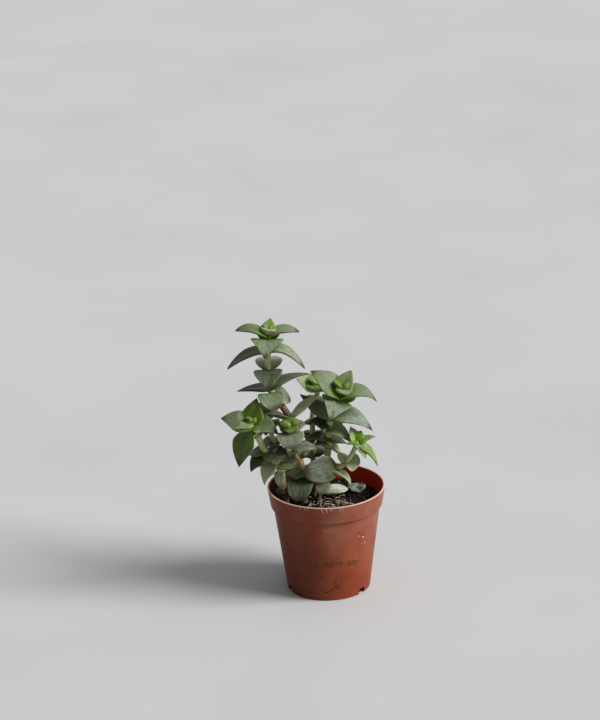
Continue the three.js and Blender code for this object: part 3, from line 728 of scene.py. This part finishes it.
def smooth_line(path):
    """Points and distances along a smooth line through the path that doesn't overshoot."""
    lengths = np.append(0, np.cumsum(np.linalg.norm(np.diff(path, axis=0), axis=1)))
    slopes = np.diff(path, axis=0) / np.diff(lengths)[:, None]
    tangents = np.zeros_like(path)
    tangents[0], tangents[-1] = slopes[0], slopes[-1]
    for i in range(1, len(path) - 1):
        a, b = slopes[i - 1], slopes[i]
        same = a * b > 0
        tangents[i] = np.where(same, 2 * a * b / np.where(same, a + b, 1), 0)
    count = max(int(lengths[-1] / STEM_STEP), 4)
    t = np.linspace(0, lengths[-1], count + 1)
    i = np.clip(np.searchsorted(lengths, t, side="right") - 1, 0, len(path) - 2)
    h = (lengths[i + 1] - lengths[i])[:, None]
    w = (t - lengths[i])[:, None] / h
    points = (
        (2 * w ** 3 - 3 * w ** 2 + 1) * path[i] + (w ** 3 - 2 * w ** 2 + w) * h * tangents[i]
        + (3 * w ** 2 - 2 * w ** 3) * path[i + 1] + (w ** 3 - w ** 2) * h * tangents[i + 1])
    return points, t, lengths


def add_stem(skin, shoot, path, rng):
    points, t, lengths = smooth_line(path)
    first = len(path) - len(shoot["joints"])
    foot, top = shoot["diameters"]
    nearest = np.abs(t[:, None] - lengths[None, first:]).min(axis=1)
    share = t / t[-1]
    swelling = 1 + JOINT_SWELLING * np.exp(-(nearest / 1.1) ** 2)
    radius = (foot + (top - foot) * share) / 2 * swelling
    phase = rng.uniform(0, ANY_TURN)
    radius = radius * (1 + 0.02 * np.sin(1.7 * t + phase) + 0.012 * np.sin(4.1 * t))
    scar = np.exp(-((nearest - 0.35) / 0.28) ** 2)
    lobes = 1 + 0.02 * np.cos(2 * ring_angles(STEM_SIDES) + phase)
    radius = radius[:, None] * lobes[None, :] * (1 - 0.05 * scar[:, None])
    shell, along = tube(points, radius, STEM_SIDES, STEM_SIDEWAYS)
    wood = np.clip((shoot["woody_below"] + 6 - points[:, 2]) / 12, 0, 1)

    def spread(values):
        return np.append(np.repeat(values, STEM_SIDES), [values[0], values[-1]])

    skin.add(
        np.concatenate([shell.reshape(-1, 3), [points[0], points[-1] + along[-1] * top / 2]]),
        closed_faces(len(points), STEM_SIDES),
        wood=spread(wood), scar=spread(scar),
    )


AGE_HEIGHT = 20

# Leaves with a look of their own, by the shoot's seed, joint height and heading: age; tone from
# -1, pale, to 1, dark, set for many of these leaves as painted light on lit ones and painted
# shade on shaded ones; amount of waxy bloom; and reddish flush, from 0.75 at the leaf's foot
OWN_LOOKS = {}
OWN_LOOKS[11] = {
    (126.5, 75): (0.1, 0.1, 0.2, 0), (126.5, 268): (0.15, -0.4, 0.2, 0),
    (125, 0): (0.35, 0.14, 0.7, 0.1), (125, 180): (0.35, 0.28, 0.3, 0.1),
    (122.6, 87): (0.1, 0.2, 0.2, 0), (122.6, 263): (0.35, 0.12, 0.8, 0),
    (117.5, 183): (0.7, 0.4, 0.35, 0.1), (117.5, 357): (0.55, 0.1, 1, 0),
    (107.5, 85): (0.8, -0.5, 2.4, 0), (107.5, 270): (0.85, 0.5, 0.6, 0),
    (99, 12): (0.8, 0.35, 0.3, 0.2), (99, 180): (0.9, 0.9, 0.05, 0.2),
    (96, 21): (0.8, -0.25, 1.1, 0), (96, 277): (0.6, 0.05, 0.5, 0),
    (84.5, 189): (1, 0.2, 0.3, 0.5), (84.5, 353): (0.7, -0.7, 0.5, 0.3),
    (66, 20): (0.8, 0.2, 0.4, 0.1), (66, 200): (0.9, 0.3, 0.2, 0), (60, 215): (1, 0.15, 0.4, 0.1),
    (56.5, 261): (1, 0.5, 0.6, 0), (52.5, 243): (1, 0.7, 0.1, 0.3),
}
OWN_LOOKS[12] = {
    (86, 11): (0, 0.05, 0, 0), (86, 205): (0, -0.15, 0, 0), (85, 130): (0.12, 0.3, 0, 0),
    (85, 295): (0.1, 0.4, 0, 0), (83, 6): (0.7, 0.1, 0.4, 0.3), (83, 160): (0.8, 0.3, 0.3, 0.1),
    (81, 90): (0.9, 0.4, 0.2, 0), (81, 269): (1, -0.1, 0.6, 0.35), (74, 342): (0.9, 0.1, 1, 0.3),
}
OWN_LOOKS[21] = {
    (97.5, 37): (0.15, -0.25, 0.2, 0), (97.5, 296): (0.15, -0.1, 0.2, 0),
    (95.5, 0): (0.35, 0.28, 0.7, 0.1), (95.5, 171): (0.38, 0.26, 0.6, 0.1),
    (93, 253): (0.4, 0.2, 0.95, 0), (84, 148): (0.8, 0.25, 0.3, 0.1),
    (84, 351): (0.5, 0.28, 1.35, 0.2), (80, 178): (1, 0.55, 0.2, 0.1),
    (78, 62): (0.5, -0.4, 0.9, 0), (78, 333): (0.4, -0.1, 0.4, 0), (73, 6): (0.8, 0.3, 0.2, 0),
    (73, 184): (1, 0.5, 0.2, 0), (69, 24): (0.4, -0.65, 0.5, 0), (69, 205): (0.9, 0, 0.4, 0),
}
OWN_LOOKS[31] = {
    (85.5, 62): (0.1, 0.25, 0.05, 0), (85.5, 204): (0.35, -0.15, 0.5, 0),
    (84, 184): (0.5, 0.5, 0.4, 0.1), (84, 344): (0.5, 0.5, 0.35, 0.1),
    (82.5, 219): (0.35, 0.15, 0.15, 0), (80, 146): (0.8, 0.5, 0.1, 0),
    (71.5, 153): (0.8, 0.5, 0.15, 0), (71.5, 329): (0.8, 0.4, 0.3, 0),
    (70, 31): (0.8, 0.45, 0.15, 0), (70, 197): (0.8, 0.5, 0.15, 0),
    (65.5, 200): (0.4, -0.55, 0.5, 0), (65.5, 323): (0.55, 0.05, 0.2, 0.6),
    (62.5, 268): (0.7, -0.2, 0.8, 0), (51.5, 222): (0.9, 0.75, 0.1, 0.5),
}
OWN_LOOKS[41] = {
    (97, 190): (0, -0.1, 0, 0), (96, 268): (0.05, -0.15, 0, 0), (94.5, 22): (0.1, -0.1, 0.1, 0),
    (94.5, 184): (0.1, -0.35, 0.1, 0),
}
OWN_LOOKS[51] = {
    (84, 117): (0.2, -0.35, 0.2, 0), (84, 287): (0.1, -0.3, 0.1, 0), (82, 17): (0.3, -0.3, 0.2, 0),
}
OWN_LOOKS[61] = {
    (74.5, 65): (0, 0, 0, 0), (74.5, 301): (0, -0.1, 0.1, 0), (73.5, 7): (0, -0.05, 0.05, 0),
    (72.5, 114): (0.2, -0.2, 0.3, 0), (72.5, 343): (0.1, 0.05, 0.15, 0),
    (63, 105): (0.5, -0.35, 0.8, 0.1), (63, 343): (0.5, -0.65, 1.3, 0.1),
    (60.8, 205): (0.8, 0.4, 0.75, 1), (59.5, 336): (0.5, -0.4, 0.5, 0),
    (55.5, 242): (0.7, -0.1, 0.5, 0),
}


def dress_shoot(shoot, leaves, stems):
    seed = shoot["seed"]
    rng = random.Random(seed)
    path = stem_path(shoot)
    first = len(path) - len(shoot["joints"])
    add_stem(stems, shoot, path, rng)
    for joint, axis, (place, *pair) in zip(path[first:], stem_axes(path)[first:], shoot["joints"]):
        age = min(max((path[-1][2] - place[2]) / AGE_HEIGHT, 0), 1)
        for leaf in pair:
            tone = rng.uniform(-0.05, 0.12) + 0.1 * age
            wax = rng.uniform(0.35, 0.7) * (0.35 + 0.65 * age)
            flush = rng.uniform(0.0, 0.6) * age
            look = OWN_LOOKS[seed].get((place[2], leaf[0]), (age, tone, wax, flush))
            plump = BUD_PLUMPNESS if leaf[1] < BUD_REACH else LEAF_PLUMPNESS
            add_leaf(leaves, joint, axis, leaf, rng, look, plump)
    if "branch" in shoot:
        dress_shoot(shoot["branch"], leaves, stems)


LEAF_LOOK = leaf_material()
STEM_LOOK = stem_material()
for node, shoot in SHOOTS.items():
    leaves, stems = Skin(), Skin()
    dress_shoot(shoot, leaves, stems)
    add_piece(node + "_leaves", leaves, LEAF_LOOK, [node])
    add_piece(node + "_stem", stems, STEM_LOOK, [node])


# ---- Pot ----

POT_SIDES = 240
PROFILE_STEP = 1.5
BEND_STEPS = 4
NOTCH_BEND = 0.5
NOTCH_CORNER_STEPS = 4
FOOT_FADE = 4
LEFT_EDGE, LEFT_FADE = 2.0, 12
SHARP_ANGLE = 35


def inner_radius(height):
    return wall_radius(height) - WALL_THICKNESS


def rounded(corner, before, after, size):
    """Points of a small bend at a corner of the profile."""
    corner, before, after = (np.array(p, float) for p in (corner, before, after))
    a = corner + unit(before - corner) * size
    b = corner + unit(after - corner) * size
    ts = np.linspace(0, 1, BEND_STEPS + 1)
    return [tuple((1 - t) ** 2 * a + 2 * t * (1 - t) * corner + t * t * b) for t in ts]


def divided(profile):
    """The profile with its long runs split, so that bends and values have points to sit on."""
    points = []
    for (r0, z0), (r1, z1) in zip(profile, profile[1:]):
        steps = max(int(math.hypot(r1 - r0, z1 - z0) / PROFILE_STEP), 1)
        points += [(r0 + (r1 - r0) * i / steps, z0 + (z1 - z0) * i / steps) for i in range(steps)]
    return points + [profile[-1]]


def pot_profile():
    """Radius and height from the middle of the underside over the rim to the inner base."""
    corners = [
        (0.01, 0, 0), (BASE_RADIUS, 0, 0.6), (WALL_TOP_RADIUS, COLLAR_FOOT - 0.4, 0.25),
        (COLLAR_FOOT_RADIUS, COLLAR_FOOT, 0.35), (RIM_RADIUS, POT_HEIGHT, 0.3),
        (RIM_RADIUS - WALL_THICKNESS, POT_HEIGHT, 0.25),
        (COLLAR_FOOT_RADIUS - WALL_THICKNESS, COLLAR_FOOT + COLLAR_LEDGE, 0.3),
        (WALL_TOP_RADIUS - WALL_THICKNESS, COLLAR_FOOT, 0.3),
        (inner_radius(BASE_THICKNESS), BASE_THICKNESS, 0.5), (0.01, BASE_THICKNESS, 0),
    ]
    places = [corner[:2] for corner in corners]
    profile = places[:1]
    for before, (r, z, size), after in zip(places, corners[1:], places[2:]):
        profile += rounded((r, z), before, after, size)
    return divided(profile + places[-1:])


def notch_section():
    """Outline of a drainage notch, with its upper corners rounded."""
    half = NOTCH_WIDTH / 2
    points = [(-half, -1), (half, -1)]
    for first, middle in ((0, half - NOTCH_BEND), (1, NOTCH_BEND - half)):
        for k in range(NOTCH_CORNER_STEPS + 1):
            t = math.pi / 2 * (first + k / NOTCH_CORNER_STEPS)
            points.append((
                middle + NOTCH_BEND * math.cos(t),
                NOTCH_HEIGHT - NOTCH_BEND + NOTCH_BEND * math.sin(t)))
    return points


def notch_cutters():
    section = notch_section()
    n = len(section)
    faces = [list(range(n)), [n + k for k in range(n)][::-1]]
    faces += [(k, n + k, n + (k + 1) % n, (k + 1) % n) for k in range(n)]
    cutters = Skin()
    for heading in NOTCH_HEADINGS:
        angle = math.radians(heading)
        out = np.array([math.cos(angle), math.sin(angle), 0])
        wide = np.array([-math.sin(angle), math.cos(angle), 0])
        start = (BASE_RADIUS - NOTCH_DEPTH / 2) * out
        front = [start + wide * a + np.array([0, 0, b]) for a, b in section]
        cutters.add(front + [p + out * NOTCH_DEPTH for p in front], faces)
    mesh = cutters.mesh("notch_cutters")
    turned = bmesh.new()
    turned.from_mesh(mesh)
    bmesh.ops.recalc_face_normals(turned, faces=turned.faces)
    turned.to_mesh(mesh)
    turned.free()
    return placed("notch_cutters", mesh)


def pot_piece():
    profile = np.array(pot_profile())
    count = len(profile)
    ring = ring_angles(POT_SIDES)
    radius, height = profile[:, :1], profile[:, 1]
    points = np.stack([
        radius * np.cos(ring), radius * np.sin(ring),
        np.broadcast_to(height[:, None], (count, POT_SIDES))], axis=-1)
    last = (count - 1) * POT_SIDES
    caps = [list(range(POT_SIDES))[::-1], [last + k for k in range(POT_SIDES)]]
    rim = int(np.argmax(height >= POT_HEIGHT - 1e-6))
    skin = Skin()
    skin.add(
        points.reshape(-1, 3), ring_faces(count, POT_SIDES) + caps,
        inside=np.repeat(np.where(np.arange(count) > rim + 2, 1.0, 0.0), POT_SIDES),
        foot=np.repeat(np.clip(1 - height / FOOT_FADE, 0, 1), POT_SIDES),
        left=np.clip((LEFT_EDGE - points[..., 0]) / LEFT_FADE, 0, 1).ravel())
    pot = add_piece("pot_shell", skin, pot_material(), ["pot"])

    cutter = notch_cutters()
    cut = pot.modifiers.new("notches", "BOOLEAN")
    cut.operation = "DIFFERENCE"
    cut.solver = "EXACT"
    cut.object = cutter
    graph = bpy.context.evaluated_depsgraph_get()
    mesh = bpy.data.meshes.new_from_object(pot.evaluated_get(graph))
    pot.modifiers.clear()
    pot.data = mesh
    bpy.data.objects.remove(cutter)
    mesh.set_sharp_from_angle(angle=math.radians(SHARP_ANGLE))


pot_piece()


# ---- Soil ----

SOIL_GAP = 0.15
SOIL_EDGE = COLLAR_FOOT_RADIUS - WALL_THICKNESS - SOIL_GAP
SOIL_RINGS = 64
SOIL_SIDES = 160
# Height, width and layer of the noise for each size of bump; height, x, y and spread of each heap
SOIL_BUMPS = [(0.42, 4.0, 1.7), (0.3, 1.3, 8.1), (0.12, 0.5, 3.3)]
SOIL_HEAPS = [(0.9, 18.6, 9.5, 9), (0.7, -14, -2, 16)]

CRUMBS = 760
CRUMB_SIZES = (0.28, 1.25)
WHITE_CRUMB_SIZE = 0.4

# Count, middle x and y, spread in x and y, and brightness of each patch of fibres
FIBRE_PATCHES = [
    (34, 0.5, -10, 3.6, 6.0, 1.0), (20, 7.5, -6.5, 3.2, 2.4, 0.7), (14, 0, 0, 12, 12, 0.6)]
FIBRE_STEPS = 12
FIBRE_START_REACH = 22.5
FIBRE_REACH = 23.8

HAIRS = 12
HAIR_SIDES = 6
HAIR_SIDEWAYS = [0.31, 0.17, 0.93]
HAIR_HEADINGS = (-116, -72)
# Radius and height where a hair crosses the rim, and where it starts to hang and to lie inside
OVER_RIM = [(26.52, 50.2), (26.75, 50.08), (27.3, 50.09), (27.56, 49.9)]
HAIR_HANG = (27.57, 49.8)
HAIR_INSIDE = (26.5, 50.2)


def soil_height(x, y):
    """The soil's own surface, with heaps and hollows."""
    bumps = sum(
        size * noise.noise(Vector((x / width, y / width, layer)))
        for size, width, layer in SOIL_BUMPS)
    heaps = sum(
        size * math.exp(-((x - middle_x) ** 2 + (y - middle_y) ** 2) / spread)
        for size, middle_x, middle_y, spread in SOIL_HEAPS)
    return soil_top(x, y) + bumps + heaps


def soil_piece():
    points = [(0, 0, soil_height(0, 0))]
    for r in range(1, SOIL_RINGS + 1):
        for x, y in ring_points(SOIL_EDGE * r / SOIL_RINGS, SOIL_SIDES):
            points.append((x, y, soil_height(x, y)))
    skirt = [(SOIL_EDGE, COLLAR_FOOT + COLLAR_LEDGE + 0.35)]
    skirt += [(inner_radius(height) - SOIL_GAP, height) for height in (40, 1.6)]
    for radius, height in skirt:
        points += [(x, y, height) for x, y in ring_points(radius, SOIL_SIDES)]
    rings = SOIL_RINGS + len(skirt)
    last = 1 + (rings - 1) * SOIL_SIDES
    skin = Skin()
    skin.add(points, disc_faces(rings, SOIL_SIDES) + [[last + k for k in range(SOIL_SIDES)][::-1]])
    add_piece("soil_ground", skin, soil_material(), ["soil"])


def lump_shape():
    lump = bmesh.new()
    bmesh.ops.create_icosphere(lump, subdivisions=2, radius=1)
    points = np.array([v.co for v in lump.verts])
    faces = [[v.index for v in f.verts] for f in lump.faces]
    lump.free()
    return points, faces


def crumbs_piece():
    """Loose crumbs of many sizes, lighter ones mostly at the front."""
    rng = random.Random(77)
    base, faces = lump_shape()
    middle_size, largest = CRUMB_SIZES
    skin = Skin()
    for _ in range(CRUMBS):
        radius = (SOIL_EDGE - 0.8) * math.sqrt(rng.random())
        angle = rng.uniform(0, 2 * math.pi)
        x, y = radius * math.cos(angle), radius * math.sin(angle)
        size = min(middle_size * math.exp(rng.gauss(0.35, 0.5)), largest)
        kind = rng.random() * 0.7
        front = y < 4 and x > -8
        if rng.random() < (0.14 if front else 0.05):
            kind = rng.uniform(0.75, 0.88)
            size = size * 0.8
        elif rng.random() < (0.09 if front else 0.04):
            kind = 1.0
            size = min(size, WHITE_CRUMB_SIZE)
        offset = Vector([rng.uniform(0, 90) for _ in range(3)])
        rough = np.array([1 + 0.38 * noise.noise(Vector(p) * 1.5 + offset) for p in base])
        scale = np.array([rng.uniform(*ends) for ends in ((0.7, 1.35), (0.7, 1.35), (0.6, 1.0))])
        turn = rng.uniform(0, ANY_TURN)
        axis = Vector((rng.gauss(0, 1), rng.gauss(0, 1), 1)).normalized()
        turned = np.array(Matrix.Rotation(turn, 3, axis)).T
        points = (base * rough[:, None] * scale * size) @ turned
        skin.add(points + np.array([x, y, soil_height(x, y) + size * 0.25]), faces, kind=kind)
    add_piece("soil_crumbs", skin, crumb_material())


def add_strand(skin, points, radius, kind):
    points = np.array(points, float)
    share = np.linspace(0, 1, len(points))
    thick = radius * (0.35 + 0.65 * np.sin(np.pi * np.clip(share * 0.9 + 0.08, 0, 1)))
    shell, _ = tube(points, thick[:, None], HAIR_SIDES, HAIR_SIDEWAYS)
    skin.add(
        np.concatenate([shell.reshape(-1, 3), [points[0], points[-1]]]),
        closed_faces(len(points), HAIR_SIDES), kind=kind)


def below(place, depth):
    """The place moved down along the collar's slope."""
    return place[0] - COLLAR_SLOPE * depth, place[1] - depth


def fibres_piece():
    """Tan and white root fibres and straw on the soil, most of them at the front, and some fine
    hairs that hang over the rim there."""
    rng = random.Random(5)
    skin = Skin()
    for count, middle_x, middle_y, spread_x, spread_y, bright in FIBRE_PATCHES:
        for _ in range(count):
            x, y = rng.gauss(middle_x, spread_x), rng.gauss(middle_y, spread_y)
            heading = rng.uniform(0, ANY_TURN)
            step = rng.uniform(1.8, 5.5) / FIBRE_STEPS
            curl = rng.uniform(-0.3, 0.3)
            arch = rng.uniform(0.2, 1.3)
            radius = rng.uniform(0.06, 0.14) * (1.2 if bright < 1 else 1)
            kind = rng.uniform(0.2, 1) * bright
            if math.hypot(x, y) > FIBRE_START_REACH:
                continue
            points = []
            for k in range(FIBRE_STEPS + 1):
                share = k / FIBRE_STEPS
                lift = 0.15 + arch * math.sin(math.pi * share)
                points.append((x, y, soil_height(x, y) + lift))
                heading += curl + rng.uniform(-0.22, 0.22)
                x += step * math.cos(heading)
                y += step * math.sin(heading)
                reach = math.hypot(x, y)
                if reach > FIBRE_REACH:
                    x, y = x * FIBRE_REACH / reach, y * FIBRE_REACH / reach
            add_strand(skin, points, radius, kind)
    for _ in range(HAIRS):
        heading = math.radians(rng.uniform(*HAIR_HEADINGS))
        drop = rng.uniform(0.6, 2.5)
        sway = rng.uniform(-0.014, 0.014)
        line = [below(HAIR_INSIDE, rng.uniform(0.3, 1.6))] + OVER_RIM
        line += [below(HAIR_HANG, drop * part) for part in (0.4, 0.7, 1.0)]
        points = [
            (r * math.cos(heading + sway * k), r * math.sin(heading + sway * k), z)
            for k, (r, z) in enumerate(line)]
        add_strand(skin, points, rng.uniform(0.05, 0.08), 1.0)
    add_piece("soil_fibres", skin, fibre_material())


soil_piece()
crumbs_piece()
fibres_piece()


# ---- Dropped leaves ----

DROPPED_LOOK = dropped_leaf_material()
for i, (node, ((x, y), leaf)) in enumerate(DROPPED_LEAVES.items()):
    place = np.array([x, y, soil_top(x, y) + LEAF_THICKNESS * (1 - UPPER_SHARE) + 0.3])
    upright = np.array([0.0, 0.0, 1.0])
    skin = Skin()
    add_leaf(skin, place, upright, leaf, random.Random(90 + i), (1, i, 0.3, 0), DROPPED_PLUMPNESS)
    add_piece(node + "_skin", skin, DROPPED_LOOK, [node])


# ---- Stage, light and camera ----

FLOOR_RADIUS = 6000
FLOOR_RINGS = 8
FLOOR_SIDES = 96

SUN_PLACE = Vector((1.3, -0.35, 0.94))
SUN_WIDTH = 30
SUN_STRENGTH = 3.6
BRIGHT_SIDE = Vector((0.75, 0.5, 0.45))
WORLD_STRENGTHS = {"From Min": -0.9, "From Max": 0.9, "To Min": 0.02, "To Max": 0.52}

# The camera's settings are in millimetres and its place and clipping distances in metres
CAMERA_SETTINGS = {"sensor_width": 36, "lens": 130, "clip_start": 0.05, "clip_end": 50}
CAMERA_PLACE = (-0.01029, -1.11769, 0.52736)
CAMERA_FORWARD = Vector((0, 0.93766, -0.34759))
CAMERA_RIGHT = Vector((0.99948, -0.01126, -0.03037))


def floor_disc():
    points = [(0, 0, 0)]
    for r in range(1, FLOOR_RINGS + 1):
        points += [(x, y, 0) for x, y in ring_points(FLOOR_RADIUS * r / FLOOR_RINGS, FLOOR_SIDES)]
    skin = Skin()
    skin.add(points, disc_faces(FLOOR_RINGS, FLOOR_SIDES))
    mesh = skin.mesh("floor")
    mesh.materials.append(floor_material())
    floor = placed("floor", mesh)


def soft_sun():
    """A wide soft light from the upper right."""
    light = bpy.data.lights.new("key", "SUN")
    light.angle = math.radians(SUN_WIDTH)
    light.energy = SUN_STRENGTH
    lamp = placed("key", light)
    lamp.location = SUN_PLACE
    lamp.rotation_mode = "QUATERNION"
    lamp.rotation_quaternion = (-SUN_PLACE).to_track_quat("-Z", "Y")


def studio_world():
    """Soft surroundings, brighter on the right and behind than at the front left."""
    world = bpy.data.worlds.new("studio")
    world.use_nodes = True
    nodes, links = world.node_tree.nodes, world.node_tree.links
    background = nodes["Background"]
    place = nodes.new("ShaderNodeTexCoord")
    facing = nodes.new("ShaderNodeVectorMath")
    facing.operation = "DOT_PRODUCT"
    facing.inputs[1].default_value = BRIGHT_SIDE.normalized()
    spread = nodes.new("ShaderNodeMapRange")
    spread.interpolation_type = "SMOOTHSTEP"
    for socket, value in WORLD_STRENGTHS.items():
        spread.inputs[socket].default_value = value
    links.new(place.outputs["Generated"], facing.inputs[0])
    links.new(facing.outputs["Value"], spread.inputs["Value"])
    links.new(spread.outputs["Result"], background.inputs["Strength"])
    background.inputs["Color"].default_value = (0.98, 0.98, 0.98, 1)
    bpy.context.scene.world = world


def add_camera():
    lens = bpy.data.cameras.new("camera")
    for key, value in CAMERA_SETTINGS.items():
        setattr(lens, key, value)
    camera = placed("camera", lens)
    upward = CAMERA_RIGHT.cross(CAMERA_FORWARD)
    rotation = Matrix((CAMERA_RIGHT, upward, -CAMERA_FORWARD)).transposed()
    camera.matrix_world = Matrix.Translation(CAMERA_PLACE) @ rotation.to_4x4()
    bpy.context.scene.camera = camera


floor_disc()
soft_sun()
studio_world()
bpy.context.scene.view_settings.view_transform = "Standard"
add_camera()
